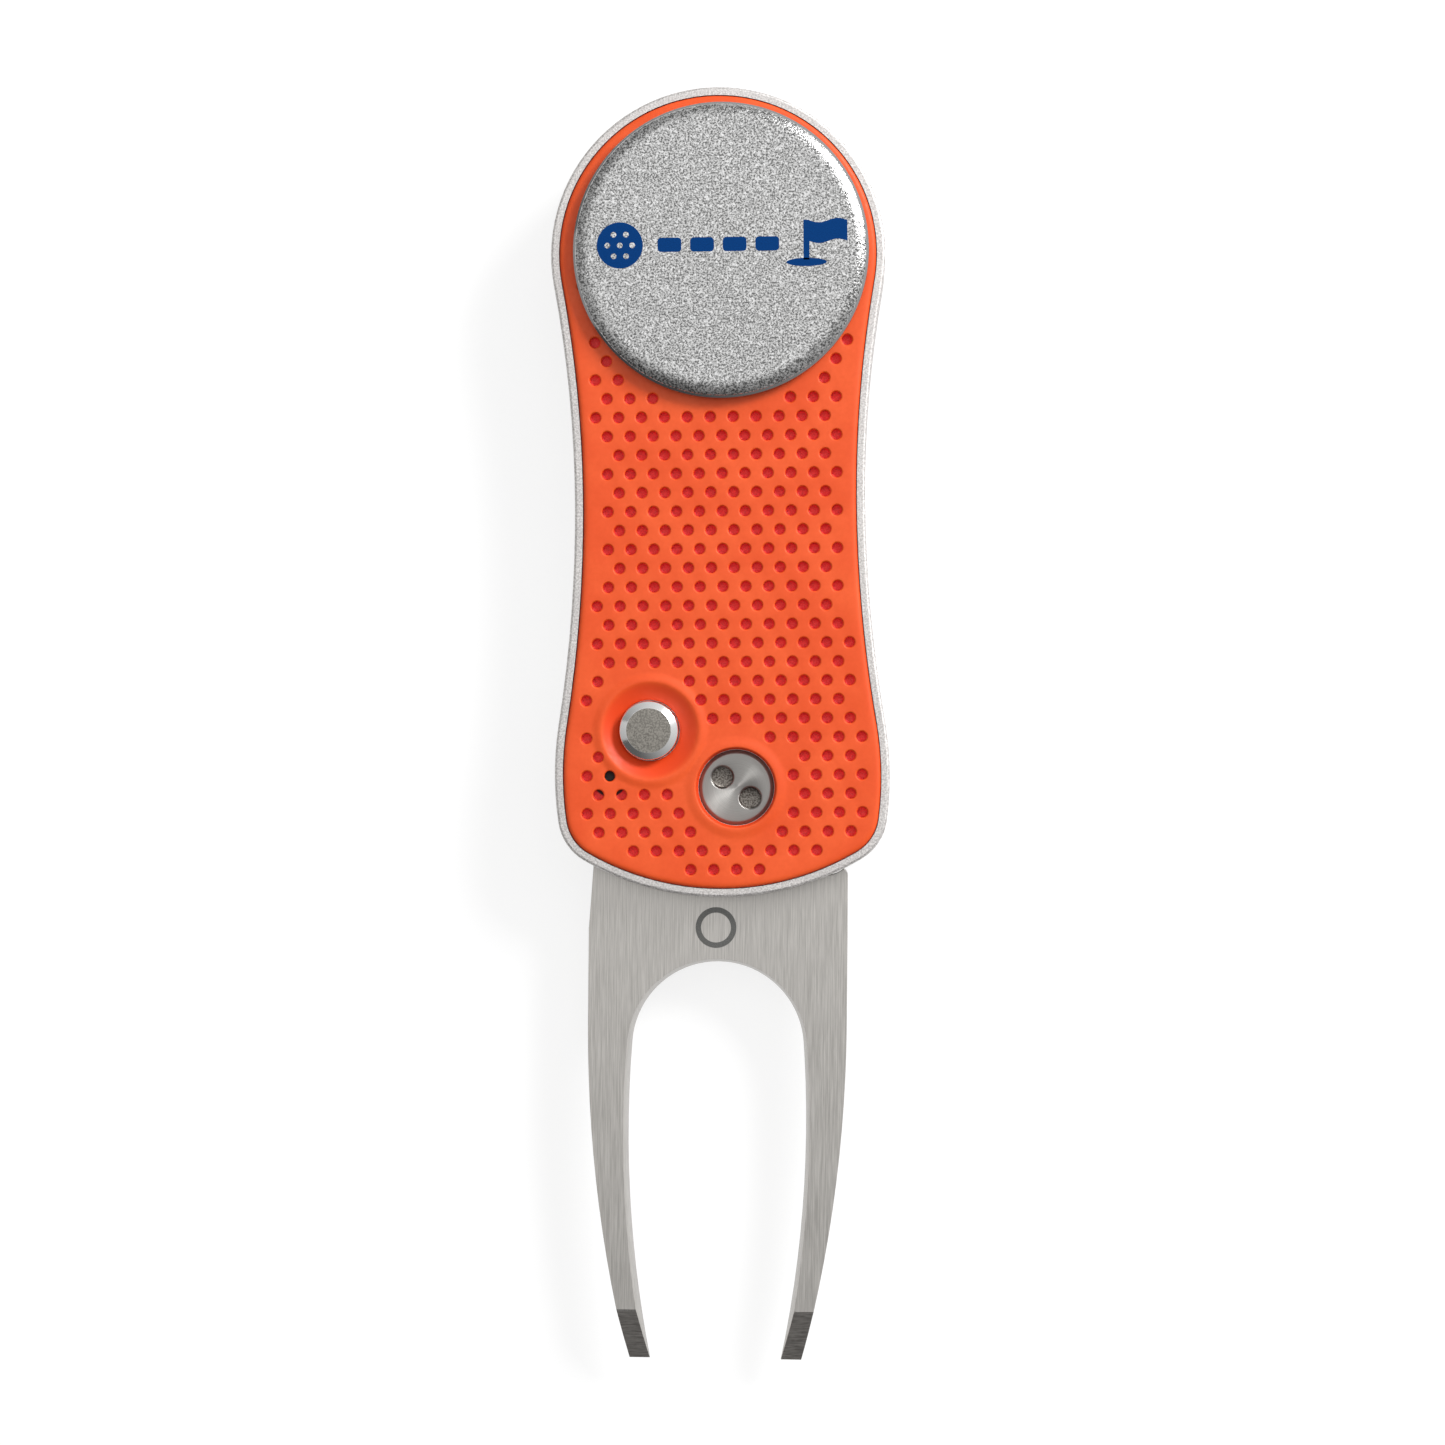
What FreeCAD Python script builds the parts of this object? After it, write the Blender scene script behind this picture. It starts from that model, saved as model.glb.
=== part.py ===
"""Folding divot repair tool: a waisted handle, a two-prong fork that folds into it, a release
button and a ball marker held on by a magnet.

Millimetres.  The tool lies on its back with the fork open: z = 0 is the rear face, +Z is the
front face's normal, +Y runs from the prongs to the head, and the origin is the bottom centre
of the whole tool's box.  The pieces are drawn TO_ORIGIN_Y lower than that and moved when they
are written, one STEP file for each.
"""
import math
import os

import FreeCAD
import Part

TO_ORIGIN_Y = 0.475

# ---- handle outline: tangent arcs, symmetric about x = 0 ----
HEAD_R = 14.2            # round head
HEAD_Y = 39.8
WAIST_HALF = 12.33       # narrowest half-width
WAIST_Y = 18.8
LOWER_WAIST_R = 115.0    # hollow flank below the waist; the one above is solved for tangency
LOBE_HALF = 14.23        # widest half-width at the fork end
LOBE_R = 28.0
CORNER_R = 4.5
BOTTOM_R = 23.4
BOTTOM_Y = -14.75

# ---- heights through the handle, rear face to front face ----
REAR_PLATE = (0.2, 3.2)
REAR_FLOOR_Z = 1.0       # floor of the rear recess, where the rear grip sits
FRONT_PLATE = (5.8, 8.8)
FRONT_FLOOR_Z = 8.0
GRIP_FACE_Z = 9.0
RIM_INSET = 0.70         # casing rim left round each grip
GRIP_INSET = 0.75
SPACER_INSET = 0.10
EDGE_ROUND = 0.25

# ---- perforation grid in both grips ----
HOLE_R = 0.45
HOLE_PITCH_X = 1.945
HOLE_PITCH_Y = 1.60
GRID_X = 0.20
GRID_Y = 26.0
HOLE_EDGE_MARGIN = 2.03  # least distance from a hole's centre to the handle's outline
GRID_REACH = 30          # rows and columns tried each way

# ---- pivot ----
PIVOT = (1.20, -5.45)
BARREL_R = 2.30
BARREL_HEAD_R = 3.20
BARREL_HEAD_Z = (7.2, 8.3)
BARREL_CHAMFER = 0.3
SPANNER_PCD = 2.95
SPANNER_R = 0.90
SPANNER_ANGLE = -37.0
SPANNER_DEPTH = 0.6
PIVOT_SCREW_Z = (0.8, 1.9, 5.6)     # head's rear, head's front, shank's end
PIVOT_SCREW_R = 1.25
PIVOT_BORE_SPARE = 0.3   # how far the barrel's bore runs on past the screw's end
PIVOT_SCREW_HEAD_R = 2.8
WASHER_OUTER_R = 3.2
WASHER_THICK = 0.25
PIVOT_WINDOW_R = 3.24    # hole in each grip over the pivot
PIVOT_MOUTH_R = 3.38     # the front one's wider mouth
COLLAR_CREST_R = 3.55
COLLAR_FOOT_R = 4.4
COLLAR_RISE = 0.3

# ---- fork ----
FORK_Z = (3.5, 5.5)
FORK_ROOT = (-0.575, -17.9)         # point on the fork's own centre line
FORK_LEAN = -0.93                   # degrees, the centre line's turn about +Z
FORK_HALF = 11.11
FORK_TAPER_Y = -25.8                # where the outer edges begin to curve in
FORK_TAPER_R = 116.0
FORK_TIP_Y = -54.83
GAP_HALF = 7.67                     # widest half-width between the prongs, at the rear face
GAP_WIDEST_Y = -34.8
GAP_SIDE_R = 100.0
GAP_TOP_Y = -20.55
GAP_DRAFT = 0.35                    # how much further out the gap's edge is at the front face
BEVEL_LENGTH = 4.45
TIP_THICK = 0.15
TANG_R = 5.9
LEFT_SHOULDER = (-10.72, -6.05)
LEFT_EDGE = (-11.68, -17.6)
RIGHT_SHOULDER = (10.60, -12.86)
RIGHT_EDGE = (10.53, -18.1)
SHOULDER_ROUND = 0.6

# ---- fork's travel ----
FOLD_ANGLE = 180.0
SWEEP_R = 50.6           # just outside the tips' path
SPINE_X = -8.45          # inner face of the spine, where the folded fork stops
SPINE_LOW_Y = -2.9

# ---- opening spring and its post on the fork ----
SPRING_POCKET_R = 5.7
SPRING_FLOOR_Z = 2.0
SPRING_Z = (2.25, 3.0)
SPRING_TURNS = 2.5
SPRING_INNER_R = 3.40
SPRING_STRIP = 0.15
SPRING_LEG_R = 2.90      # inner end of the leg that hooks into the casing's boss
POST_ORBIT_R = 4.9
POST_R = 0.45
POST_ANGLE = 200.0
POST_Z = (2.2, 3.9)

# ---- stop pin ----
STOP_PIN = (-9.57, -4.70)
STOP_PIN_R = 1.25
STOP_PIN_Z = (1.6, 6.9)
STOP_HEAD_R = 2.0
STOP_HEAD_TALL = 0.4
STOP_MOUTH_R = 2.1

# ---- release button ----
BUTTON = (-6.15, -0.55)
BUTTON_R = 2.5
BUTTON_TOP_R = 1.85
BUTTON_TOP_Z = 9.7
BUTTON_BEVEL = 0.38
FLANGE_R = 2.7
FLANGE_Z = (4.5, 5.75)
STEM_R = 1.5
STEM_FOOT_Z = 3.4
DISH = (-6.03, -0.57)
DISH_CREST_R = 4.15
DISH_FOOT_R = 4.85
DISH_RISE = 0.35
DISH_HOLE_R = 2.58       # round the button
DISH_FLOOR_R = 2.8       # round the dish's own centre
DISH_LOW_Z = 8.3
BUTTON_POCKET_R = 2.45
COIL_R = 2.15            # button spring, to the wire's centre
COIL_WIRE_R = 0.15
COIL_TURNS = 4.0

# ---- ball marker and its magnet ----
MARKER = (0.30, 40.0)
MARKER_R = 12.5
MARKER_Z = (9.02, 10.5)
MARKER_TOP_ROUND = 0.6
MARKER_UNDER_ROUND = 0.2
MARKER_SEAT = (0.20, 38.0)          # middle of the front grip's unperforated seat for it
MARKER_SEAT_R = 11.6
CUP_R = 7.0
CUP_WALL = 0.85
CUP_Z = (6.3, 8.95)
CUP_FLOOR = 0.8
MAGNET_R = 6.1
MAGNET_TOP_Z = 8.9

# ---- fasteners in the spine ----
SCREWS = ((-10.4, 13.6), (-6.5, 47.9), (6.5, 47.9))
SCREW_R = 1.0
SCREW_HEAD_R = 1.9
SCREW_HEAD_TALL = 0.9
SCREW_END_Z = 7.2
DOWELS = ((-10.6, 24.0), (0.0, 50.5))
DOWEL_R = 0.75
DOWEL_Z = (2.4, 6.8)

# ---- running and seating clearances, on the radius ----
RUNNING = 0.04
SEATING = 0.015
SWEEP_CLEAR = 0.1
OVERCUT = 1.0            # how far a cutting tool passes its face
Z_AXIS = FreeCAD.Vector(0, 0, 1)


# ---------------------------------------------------------------- helpers
def point(x, y, z=0.0):
    return FreeCAD.Vector(x, y, z)


def rod(centre, radius, low, high):
    """Upright cylinder from z = low to z = high."""
    return Part.makeCylinder(radius, high - low, point(centre[0], centre[1], low), Z_AXIS)


def ring(centre, inner, outer, low, high):
    return rod(centre, outer, low, high).cut(rod(centre, inner, low - OVERCUT, high + OVERCUT))


def prism(wire, low, high):
    """Extrudes a closed wire drawn at z = 0."""
    face = Part.Face(wire)
    face.translate(point(0, 0, low))
    return face.extrude(point(0, 0, high - low))


def polygon(corners):
    path = [point(*corner) for corner in corners]
    return Part.makePolygon(path + path[:1])


def turned(centre, profile):
    """Solid of revolution about the upright axis through centre; profile is (radius, z)."""
    path = [point(radius, 0, z) for radius, z in profile]
    solid = Part.Face(Part.makePolygon(path + path[:1])).revolve(point(0, 0), Z_AXIS, 360)
    solid.translate(point(*centre))
    return solid


def hexagon(centre, across_flats):
    corner_r = across_flats / math.sqrt(3)
    turns = [math.radians(60 * side) for side in range(6)]
    return polygon([(centre[0] + corner_r * math.cos(turn),
                     centre[1] + corner_r * math.sin(turn)) for turn in turns])


def polar(centre, radius, degrees):
    turn = math.radians(degrees)
    return (centre[0] + radius * math.cos(turn), centre[1] + radius * math.sin(turn))


def toward(circle, target):
    """Point of circle (x, y, r) on the line from its centre to target."""
    centre = point(circle[0], circle[1])
    step = point(target[0], target[1]) - centre
    return centre + step.normalize() * circle[2]


def short_arc(circle, start, end):
    """Start, middle and end of the arc of less than half a turn between two points."""
    middle = (start + end) * 0.5
    return start, toward(circle, (middle.x, middle.y)), end


def mirrored(arc):
    return [point(-spot.x, spot.y) for spot in reversed(arc)]


def wire_of_arcs(arcs):
    return Part.Wire([Part.Arc(*arc).toShape() for arc in arcs])


def rounded(solid, radius, is_edge):
    """Rounds the edges that is_edge picks."""
    return solid.makeFillet(radius, [edge for edge in solid.Edges if is_edge(edge)])


def lies_at(height):
    """Picks the edges that lie in the plane z = height."""
    def picked(edge):
        box = edge.BoundBox
        return abs(box.ZMin - height) < 1e-6 and abs(box.ZMax - height) < 1e-6
    return picked


def stands_on(*corners):
    """Picks the upright straight edges that pass through the given corners."""
    def picked(edge):
        box = edge.BoundBox
        near = any(math.hypot(box.XMin - x, box.YMin - y) < 1e-3 for x, y in corners)
        return near and box.ZLength > 1 and box.XLength < 1e-3 and box.YLength < 1e-3
    return picked


# ---------------------------------------------------------------- handle outline
def circle_meeting(first, second):
    """Right-hand meeting point of two circles (x, y, r)."""
    a = point(first[0], first[1])
    b = point(second[0], second[1])
    gap = (b - a).Length
    along = (first[2] ** 2 - second[2] ** 2 + gap ** 2) / (2 * gap)
    across = math.sqrt(first[2] ** 2 - along ** 2)
    step = (b - a).normalize()
    return a + step * along + point(step.y, -step.x) * across


def handle_outline(inset):
    """Closed wire of the handle's outline, moved inwards by inset."""
    drop = HEAD_Y - WAIST_Y
    reach = HEAD_R - WAIST_HALF
    upper_r = (WAIST_HALF ** 2 + drop ** 2 - HEAD_R ** 2) / (2 * reach)
    lobe_x = LOBE_HALF - LOBE_R
    lobe_y = WAIST_Y - math.sqrt((LOWER_WAIST_R + LOBE_R) ** 2
                                 - (WAIST_HALF + LOWER_WAIST_R - lobe_x) ** 2)
    bottom_centre_y = BOTTOM_Y + BOTTOM_R
    corner = circle_meeting((lobe_x, lobe_y, LOBE_R - CORNER_R),
                            (0.0, bottom_centre_y, BOTTOM_R - CORNER_R))

    head = (0.0, HEAD_Y, HEAD_R - inset)
    upper = (WAIST_HALF + upper_r, WAIST_Y, upper_r + inset)
    lower = (WAIST_HALF + LOWER_WAIST_R, WAIST_Y, LOWER_WAIST_R + inset)
    lobe = (lobe_x, lobe_y, LOBE_R - inset)
    elbow = (corner.x, corner.y, CORNER_R - inset)
    bottom = (0.0, bottom_centre_y, BOTTOM_R - inset)

    joins = [point(0, HEAD_Y + HEAD_R - inset),
             toward(head, upper),
             point(WAIST_HALF - inset, WAIST_Y),
             toward(lobe, lower),
             toward(lobe, elbow),
             toward(bottom, elbow),
             point(0, BOTTOM_Y + inset)]
    circles = [head, upper, lower, lobe, elbow, bottom]
    right = [short_arc(circle, joins[i], joins[i + 1]) for i, circle in enumerate(circles)]
    left = [mirrored(arc) for arc in reversed(right)]
    return wire_of_arcs(right + left)


def perforations(blocked, low, high):
    """Cylinders on the staggered grid, clear of the outline and of each blocked circle."""
    allowed = Part.Face(handle_outline(HOLE_EDGE_MARGIN))
    holes = []
    for row in range(-GRID_REACH, GRID_REACH):
        y = GRID_Y + row * HOLE_PITCH_Y
        shift = 0.5 if row % 2 == 0 else 0.0
        for column in range(-GRID_REACH // 2, GRID_REACH // 2):
            x = GRID_X + (column + shift) * HOLE_PITCH_X
            clear = all(math.hypot(x - cx, y - cy) > reach for cx, cy, reach in blocked)
            if clear and allowed.isInside(point(x, y), 1e-6, True):
                holes.append(rod((x, y), HOLE_R, low - OVERCUT, high + OVERCUT))
    return Part.makeCompound(holes)


# ---------------------------------------------------------------- casings and spine
def front_casing():
    low, high = FRONT_PLATE
    plate = rounded(prism(handle_outline(0), low, high), EDGE_ROUND, lies_at(high))
    recess = prism(handle_outline(RIM_INSET), FRONT_FLOOR_Z, high + OVERCUT)
    cuts = [recess,
            rod(PIVOT, BARREL_R + SEATING, low - OVERCUT, high),
            rod(PIVOT, BARREL_HEAD_R + SEATING, BARREL_HEAD_Z[0], high),
            rod(BUTTON, BUTTON_R + RUNNING, low - OVERCUT, high),
            rod(STOP_PIN, STOP_PIN_R + SEATING, low - OVERCUT, STOP_PIN_Z[1]),
            rod(STOP_PIN, STOP_MOUTH_R, STOP_PIN_Z[1], high),
            rod(MARKER, CUP_R + SEATING, CUP_Z[0], high)]
    cuts += [rod(screw, SCREW_R + SEATING, low - OVERCUT, SCREW_END_Z) for screw in SCREWS]
    cuts += [rod(dowel, DOWEL_R + SEATING, low - OVERCUT, DOWEL_Z[1]) for dowel in DOWELS]
    return plate.cut(Part.makeCompound(cuts))


def rear_casing():
    low, high = REAR_PLATE
    plate = rounded(prism(handle_outline(0), low, high), EDGE_ROUND, lies_at(low))
    recess = prism(handle_outline(RIM_INSET), low - OVERCUT, REAR_FLOOR_Z)
    head_top = REAR_FLOOR_Z + SCREW_HEAD_TALL
    cuts = [recess,
            rod(PIVOT, BARREL_R + SEATING, low, high + OVERCUT),
            rod(PIVOT, PIVOT_SCREW_HEAD_R + SEATING, low, PIVOT_SCREW_Z[1]),
            ring(PIVOT, WASHER_OUTER_R, SPRING_POCKET_R, SPRING_FLOOR_Z, high + OVERCUT),
            rod(BUTTON, BUTTON_POCKET_R, SPRING_FLOOR_Z, high + OVERCUT),
            rod(STOP_PIN, STOP_PIN_R + SEATING, STOP_PIN_Z[0], high + OVERCUT)]
    cuts += [rod(screw, SCREW_R + SEATING, low, high + OVERCUT) for screw in SCREWS]
    cuts += [rod(screw, SCREW_HEAD_R + SEATING, low, head_top) for screw in SCREWS]
    cuts += [rod(dowel, DOWEL_R + SEATING, DOWEL_Z[0], high + OVERCUT) for dowel in DOWELS]
    slot_clear = 0.05
    cuts.append(spring_leg(SPRING_STRIP + 2 * slot_clear, SPRING_LEG_R - slot_clear,
                           SPRING_FLOOR_Z, high + OVERCUT))
    return plate.cut(Part.makeCompound(cuts))


def spine_spacer():
    """Keeps the casings apart along the left flank and round the head, clear of the fork."""
    low, high = REAR_PLATE[1], FRONT_PLATE[0]
    body = prism(handle_outline(SPACER_INSET), low, high)
    head_top = HEAD_Y + HEAD_R
    flank = Part.makeBox(2 * HEAD_R, head_top - SPINE_LOW_Y + OVERCUT, high - low,
                         point(SPINE_X - 2 * HEAD_R, SPINE_LOW_Y, low))
    crown = Part.makeBox(4 * HEAD_R, 2 * HEAD_R, high - low,
                         point(-2 * HEAD_R, HEAD_Y - HEAD_R / 2, low))
    crown = crown.cut(rod(PIVOT, SWEEP_R, low - OVERCUT, high + OVERCUT))
    body = body.common(flank.fuse(crown)).removeSplitter()
    holes = [rod(BUTTON, FLANGE_R + 3 * SWEEP_CLEAR, low - OVERCUT, high + OVERCUT)]
    for centres, radius in ((SCREWS, SCREW_R), (DOWELS, DOWEL_R)):
        holes += [rod(centre, radius + SEATING, low - OVERCUT, high + OVERCUT) for centre in centres]
    return body.cut(Part.makeCompound(holes))


# ---------------------------------------------------------------- grips
def grip_blank(low, high, face):
    return rounded(prism(handle_outline(GRIP_INSET), low, high), EDGE_ROUND, lies_at(face))


def front_grip():
    low, high = FRONT_FLOOR_Z, GRIP_FACE_Z
    grip = grip_blank(low, high, high)
    cup_window = CUP_R + RUNNING
    for centre, radius in ((PIVOT, COLLAR_FOOT_R), (DISH, DISH_FOOT_R), (MARKER, cup_window)):
        grip = grip.cut(rod(centre, radius, low - OVERCUT, high + OVERCUT))
    crest = high + COLLAR_RISE
    collar = turned(PIVOT, [(PIVOT_WINDOW_R, low), (PIVOT_WINDOW_R, BARREL_HEAD_Z[1]),
                            (PIVOT_MOUTH_R, high), (PIVOT_MOUTH_R, crest - 0.1),
                            (COLLAR_CREST_R - 0.1, crest), (COLLAR_CREST_R + 0.1, crest),
                            (COLLAR_FOOT_R, high), (COLLAR_FOOT_R, low)])
    lip = high + DISH_RISE
    dish = turned(DISH, [(0, low), (0, DISH_LOW_Z), (DISH_FLOOR_R, DISH_LOW_Z),
                         (DISH_CREST_R - 0.25, lip - 0.1), (DISH_CREST_R, lip),
                         (DISH_FOOT_R, high), (DISH_FOOT_R, low)])
    dish = dish.cut(rod(BUTTON, DISH_HOLE_R, low - OVERCUT, high))
    blocked = [(*DISH, DISH_FOOT_R + 0.1), (*PIVOT, COLLAR_FOOT_R + HOLE_R),
               (*MARKER_SEAT, MARKER_SEAT_R)]
    return grip.fuse([collar, dish]).cut(perforations(blocked, low, high))


def rear_grip():
    low, high = 0.0, REAR_FLOOR_Z
    grip = grip_blank(low, high, low)
    grip = grip.cut(rod(PIVOT, PIVOT_WINDOW_R, low - OVERCUT, high + OVERCUT))
    blocked = [(*PIVOT, PIVOT_WINDOW_R + 3 * HOLE_R)]
    return grip.cut(perforations(blocked, low, high))


# ---------------------------------------------------------------- fork
def leaning(shape):
    """Moves a shape drawn about x = 0 onto the fork's leaning centre line."""
    shape.translate(point(FORK_ROOT[0], 0))
    shape.rotate(point(*FORK_ROOT), Z_AXIS, FORK_LEAN)
    return shape


def prong_blank():
    """Plate with curved-in sides, from the tang down to the tips."""
    side = (FORK_HALF - FORK_TAPER_R, FORK_TAPER_Y, FORK_TAPER_R)
    tip_x = side[0] + math.sqrt(FORK_TAPER_R ** 2 - (FORK_TAPER_Y - FORK_TIP_Y) ** 2)
    top = point(FORK_HALF, LEFT_EDGE[1])
    bend = point(FORK_HALF, FORK_TAPER_Y)
    tip = point(tip_x, FORK_TIP_Y)
    curve = short_arc(side, bend, tip)
    edges = [Part.makeLine(point(-top.x, top.y), top),
             Part.makeLine(top, bend),
             Part.Arc(*curve).toShape(),
             Part.makeLine(tip, point(-tip.x, tip.y)),
             Part.Arc(*mirrored(curve)).toShape(),
             Part.makeLine(point(-bend.x, bend.y), point(-top.x, top.y))]
    return prism(Part.Wire(edges), *FORK_Z)


def gap_outline(widen, z):
    """Round arch running into two long hollow sides, widened all round, at height z."""
    height = GAP_TOP_Y - GAP_WIDEST_Y
    side_x = GAP_HALF - GAP_SIDE_R
    arch_r = (GAP_SIDE_R ** 2 - side_x ** 2 - height ** 2) / (2 * (GAP_SIDE_R - height))
    arch = (0.0, GAP_TOP_Y - arch_r, arch_r + widen)
    side = (side_x, GAP_WIDEST_Y, GAP_SIDE_R + widen)
    low_y = FORK_TIP_Y - OVERCUT
    top = point(0, GAP_TOP_Y + widen)
    shoulder = toward(side, arch)
    low = point(side_x + math.sqrt(side[2] ** 2 - (GAP_WIDEST_Y - low_y) ** 2), low_y)
    right = [short_arc(arch, top, shoulder), short_arc(side, shoulder, low)]
    edges = [Part.Arc(*arc).toShape() for arc in right]
    edges.append(Part.makeLine(low, point(-low.x, low.y)))
    edges += [Part.Arc(*mirrored(arc)).toShape() for arc in reversed(right)]
    wire = Part.Wire(edges)
    wire.translate(point(0, 0, z))
    return wire


def prong_gap():
    """Space between the prongs, wider at the front face than at the rear."""
    low, high = FORK_Z
    slope = GAP_DRAFT / (high - low)
    below = gap_outline(-slope * OVERCUT, low - OVERCUT)
    above = gap_outline(GAP_DRAFT + slope * OVERCUT, high + OVERCUT)
    return Part.makeLoft([below, above], True, True)


def tip_bevel():
    """Wedge taken off the front face of both tips, down to a thin rear edge."""
    low, high = FORK_Z
    slope = (high - low - TIP_THICK) / BEVEL_LENGTH
    start_y = FORK_TIP_Y + BEVEL_LENGTH
    end_y = FORK_TIP_Y - OVERCUT
    corners = [(start_y, high), (end_y, high - slope * (start_y - end_y)), (end_y, high + OVERCUT),
               (start_y, high + OVERCUT)]
    path = [point(-FORK_HALF, y, z) for y, z in corners]
    return Part.Face(Part.makePolygon(path + path[:1])).extrude(point(2 * FORK_HALF, 0, 0))


def swept_path(centre, radius):
    """What a fixed post at centre clears out of the fork while the fork folds up."""
    low, high = FORK_Z[0] - OVERCUT, FORK_Z[1] + OVERCUT
    offset = point(*centre) - point(*PIVOT)
    end_angle = math.degrees(math.atan2(offset.y, offset.x))
    start_angle = end_angle - FOLD_ANGLE
    band = ring(PIVOT, offset.Length - radius, offset.Length + radius, low, high)
    half = Part.makeBox(4 * FORK_HALF, 2 * FORK_HALF, high - low, point(-2 * FORK_HALF, 0, low))
    half.rotate(point(0, 0), Z_AXIS, start_angle)
    half.translate(point(*PIVOT))
    ends = [rod(polar(PIVOT, offset.Length, angle), radius, low, high)
            for angle in (start_angle, end_angle)]
    return band.common(half).fuse(ends)


def fork():
    low, high = FORK_Z
    prongs = leaning(prong_blank().cut(prong_gap()).cut(tip_bevel()))
    folded_button = math.degrees(math.atan2(PIVOT[1] - BUTTON[1], PIVOT[0] - BUTTON[0]))
    neck = polar(PIVOT, TANG_R, folded_button)
    tang = prism(polygon([LEFT_EDGE, LEFT_SHOULDER, (PIVOT[0], LEFT_SHOULDER[1]), neck,
                          RIGHT_SHOULDER, RIGHT_EDGE]), low, high)
    tang = tang.fuse(rod(PIVOT, TANG_R, low, high))
    body = prongs.fuse(tang)
    body = body.cut(swept_path(BUTTON, FLANGE_R + SWEEP_CLEAR))
    body = body.cut(rod(PIVOT, BARREL_R + RUNNING, low - OVERCUT, high + OVERCUT))
    post = polar(PIVOT, POST_ORBIT_R, POST_ANGLE)
    body = body.cut(rod(post, POST_R + SEATING, low - OVERCUT, POST_Z[1]))
    body = body.removeSplitter()
    return rounded(body, SHOULDER_ROUND, stands_on(LEFT_SHOULDER, RIGHT_SHOULDER))


def spring_post():
    """Short pin pressed into the tang; the opening spring hooks on its lower end."""
    return rod(polar(PIVOT, POST_ORBIT_R, POST_ANGLE), POST_R, *POST_Z)


def spring_leg(width, inner_r, low, high):
    """Radial bar from inner_r out to the spring's first coil."""
    bar = Part.makeBox(SPRING_INNER_R - inner_r, width, high - low,
                       point(inner_r, -width / 2, low))
    bar.rotate(point(0, 0), Z_AXIS, POST_ANGLE - 360 * SPRING_TURNS)
    bar.translate(point(*PIVOT))
    return bar


def fork_spring():
    """Flat spiral strip round the pivot, from the casing's boss out to the post."""
    low, high = SPRING_Z
    steps_per_turn = 12
    count = int(SPRING_TURNS * steps_per_turn)
    hook_r = POST_ORBIT_R - POST_R - SPRING_STRIP

    def coil(side):
        spots = []
        for step in range(count + 1):
            part_way = step / count
            radius = SPRING_INNER_R + (hook_r - SPRING_INNER_R) * part_way
            angle = POST_ANGLE - 360 * SPRING_TURNS * (1 - part_way)
            spots.append(point(*polar(PIVOT, radius + side * SPRING_STRIP / 2, angle)))
        curve = Part.BSplineCurve()
        curve.interpolate(spots)
        return curve.toShape(), spots[0], spots[-1]

    inner, inner_start, inner_end = coil(-1)
    outer, outer_start, outer_end = coil(1)
    strip = Part.Wire(Part.__sortEdges__([inner, Part.makeLine(inner_end, outer_end), outer,
                                          Part.makeLine(outer_start, inner_start)]))
    eye = ring(polar(PIVOT, POST_ORBIT_R, POST_ANGLE), POST_R + SEATING,
               POST_R + 1.5 * SPRING_STRIP, low, high)
    leg = spring_leg(SPRING_STRIP, SPRING_LEG_R, low, high)
    return prism(strip, low, high).fuse([eye, leg])


# ---------------------------------------------------------------- pivot and stop
def pivot_barrel():
    low = PIVOT_SCREW_Z[1]
    neck, top = BARREL_HEAD_Z
    body = turned(PIVOT, [(0, low), (BARREL_R, low), (BARREL_R, neck), (BARREL_HEAD_R, neck),
                          (BARREL_HEAD_R, top - BARREL_CHAMFER),
                          (BARREL_HEAD_R - BARREL_CHAMFER, top), (0, top)])
    bore_end = PIVOT_SCREW_Z[2] + PIVOT_BORE_SPARE
    holes = [rod(PIVOT, PIVOT_SCREW_R + SEATING, low - OVERCUT, bore_end)]
    holes += [rod(polar(PIVOT, SPANNER_PCD / 2, SPANNER_ANGLE + turn), SPANNER_R,
                  top - SPANNER_DEPTH, top + OVERCUT) for turn in (0, 180)]
    return body.cut(Part.makeCompound(holes))


def pivot_screw():
    rear, seat, end = PIVOT_SCREW_Z
    head = rod(PIVOT, PIVOT_SCREW_HEAD_R, rear, seat)
    shank = rod(PIVOT, PIVOT_SCREW_R, seat, end)
    socket = prism(hexagon(PIVOT, 2.5), rear - OVERCUT, rear + 0.65)
    return head.fuse(shank).cut(socket)


def thrust_washer(low):
    return ring(PIVOT, BARREL_R + 1.5 * RUNNING, WASHER_OUTER_R, low, low + WASHER_THICK)


def stop_pin():
    """Headed pin; its head lies in the mouth of its hole in the front casing."""
    low, high = STOP_PIN_Z
    head = rod(STOP_PIN, STOP_HEAD_R, high, high + STOP_HEAD_TALL)
    return head.fuse(rod(STOP_PIN, STOP_PIN_R, low, high))


# ---------------------------------------------------------------- button
def release_button():
    low, high = FLANGE_Z
    return turned(BUTTON, [(0, STEM_FOOT_Z), (STEM_R, STEM_FOOT_Z), (STEM_R, low), (FLANGE_R, low),
                           (FLANGE_R, high), (BUTTON_R, high),
                           (BUTTON_R, BUTTON_TOP_Z - BUTTON_BEVEL), (BUTTON_TOP_R, BUTTON_TOP_Z),
                           (0, BUTTON_TOP_Z)])


def button_spring():
    """Compression spring between the rear casing's pocket and the button's flange."""
    low = SPRING_FLOOR_Z + COIL_WIRE_R
    height = FLANGE_Z[0] - SPRING_FLOOR_Z - 2 * COIL_WIRE_R
    helix = Part.makeHelix(height / COIL_TURNS, height, COIL_R)
    wire = Part.Wire(Part.makeCircle(COIL_WIRE_R, point(COIL_R, 0), point(0, 1, 0)))
    coil = Part.Wire(helix.Edges).makePipeShell([wire], True, True)
    coil.translate(point(BUTTON[0], BUTTON[1], low))
    return coil


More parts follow.
